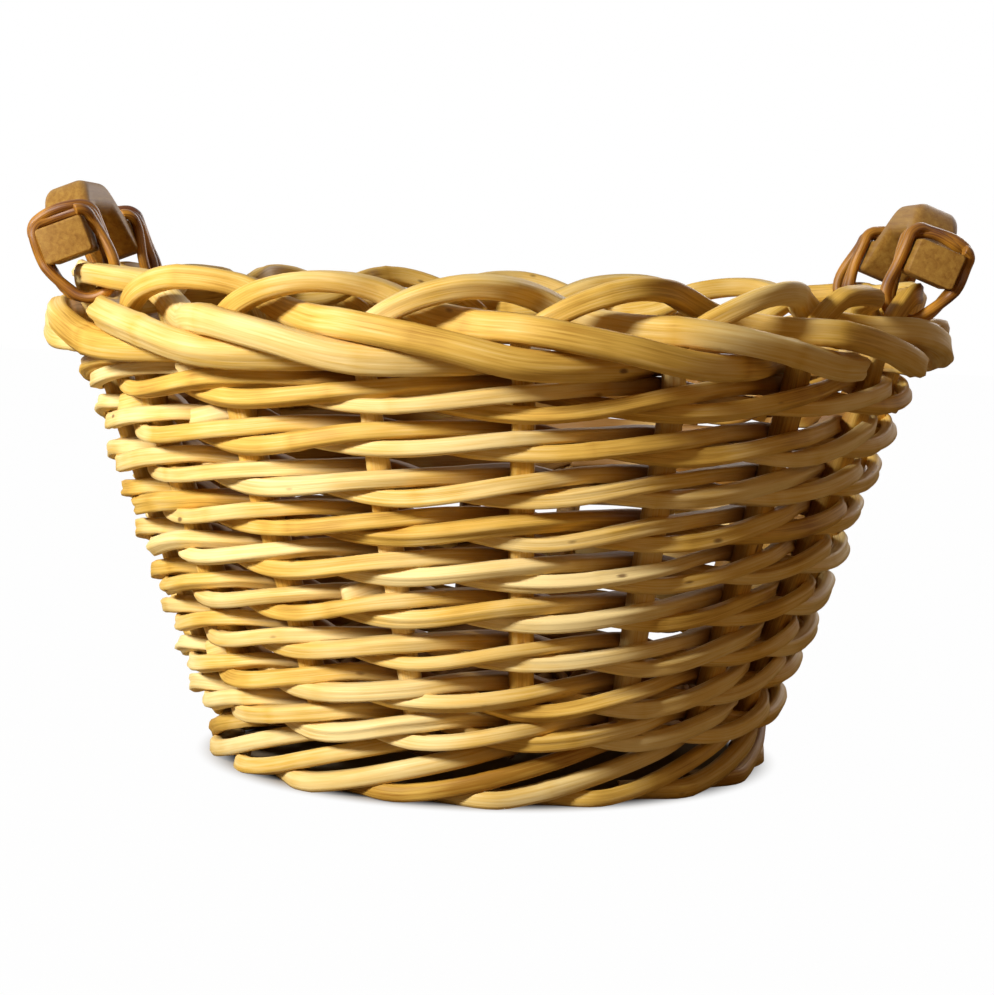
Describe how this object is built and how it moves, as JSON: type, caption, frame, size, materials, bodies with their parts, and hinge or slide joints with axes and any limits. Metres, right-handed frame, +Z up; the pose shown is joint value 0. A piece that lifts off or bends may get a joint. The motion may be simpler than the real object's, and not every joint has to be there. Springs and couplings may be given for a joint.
{
  "type": "basket",
  "caption": "Round tapered willow basket with a plaited border and foot, and an arched wooden grip in wound cane loops on each side.",
  "frame": {"origin": "on the ground, below the middle of the base", "axes": "+Z up; -Y the front, as pictured; the two grips on +X and -X"},
  "size_m": [0.376, 0.374, 0.2364],
  "materials": {
    "peeled_willow": "peeled willow rods under a satin varnish, honey gold with darker nodes",
    "base_willow": "peeled willow, satin, a shade darker than the wall",
    "dark_cane": "wound cane, dark amber, satin",
    "grip_wood": "stained and varnished solid wood, orange brown"
  },
  "bodies": {
    "basket": {"stake_01": "peeled_willow", "stake_02": "peeled_willow", "stake_03": "peeled_willow", "stake_04": "peeled_willow", "stake_05": "peeled_willow", "stake_06": "peeled_willow", "stake_07": "peeled_willow", "stake_08": "peeled_willow", "stake_09": "peeled_willow", "stake_10": "peeled_willow", "stake_11": "peeled_willow", "stake_12": "peeled_willow", "stake_13": "peeled_willow", "stake_14": "peeled_willow", "stake_15": "peeled_willow", "stake_16": "peeled_willow", "stake_17": "peeled_willow", "stake_18": "peeled_willow", "wale_lower_rod_1": "peeled_willow", "wale_lower_rod_2": "peeled_willow", "wale_lower_rod_3": "peeled_willow", "wale_upper_rod_1": "peeled_willow", "wale_upper_rod_2": "peeled_willow", "wale_upper_rod_3": "peeled_willow", "foot_rod_01": "peeled_willow", "foot_rod_02": "peeled_willow", "foot_rod_03": "peeled_willow", "foot_rod_04": "peeled_willow", "foot_rod_05": "peeled_willow", "foot_rod_06": "peeled_willow", "foot_rod_07": "peeled_willow", "foot_rod_08": "peeled_willow", "foot_rod_09": "peeled_willow", "foot_rod_10": "peeled_willow", "foot_rod_11": "peeled_willow", "foot_rod_12": "peeled_willow", "foot_rod_13": "peeled_willow", "foot_rod_14": "peeled_willow", "foot_rod_15": "peeled_willow", "foot_rod_16": "peeled_willow", "foot_rod_17": "peeled_willow", "foot_rod_18": "peeled_willow", "base_stick_along_1": "base_willow", "base_stick_along_2": "base_willow", "base_stick_along_3": "base_willow", "base_stick_along_4": "base_willow", "base_stick_along_5": "base_willow", "base_stick_across_1": "base_willow", "base_stick_across_2": "base_willow", "base_stick_across_3": "base_willow", "base_stick_across_4": "base_willow", "base_weaver_1": "base_willow", "base_weaver_2": "base_willow"},
    "handle_left": {"grip_left": "grip_wood", "grip_loop_left_front": "dark_cane", "grip_loop_left_back": "dark_cane"},
    "handle_right": {"grip_right": "grip_wood", "grip_loop_right_front": "dark_cane", "grip_loop_right_back": "dark_cane"}
  },
  "joints": [
    {"name": "handle_right_swing", "type": "hinge", "parent": "basket", "child": "handle_right", "pos_m": [0.1627, 0, 0.1983], "axis": [0, -1, 0], "range_deg": [0, 40]},
    {"name": "handle_left_swing", "type": "hinge", "parent": "basket", "child": "handle_left", "pos_m": [-0.1627, 0, 0.1983], "axis": [0, 1, 0], "range_deg": [0, 40]}
  ]
}
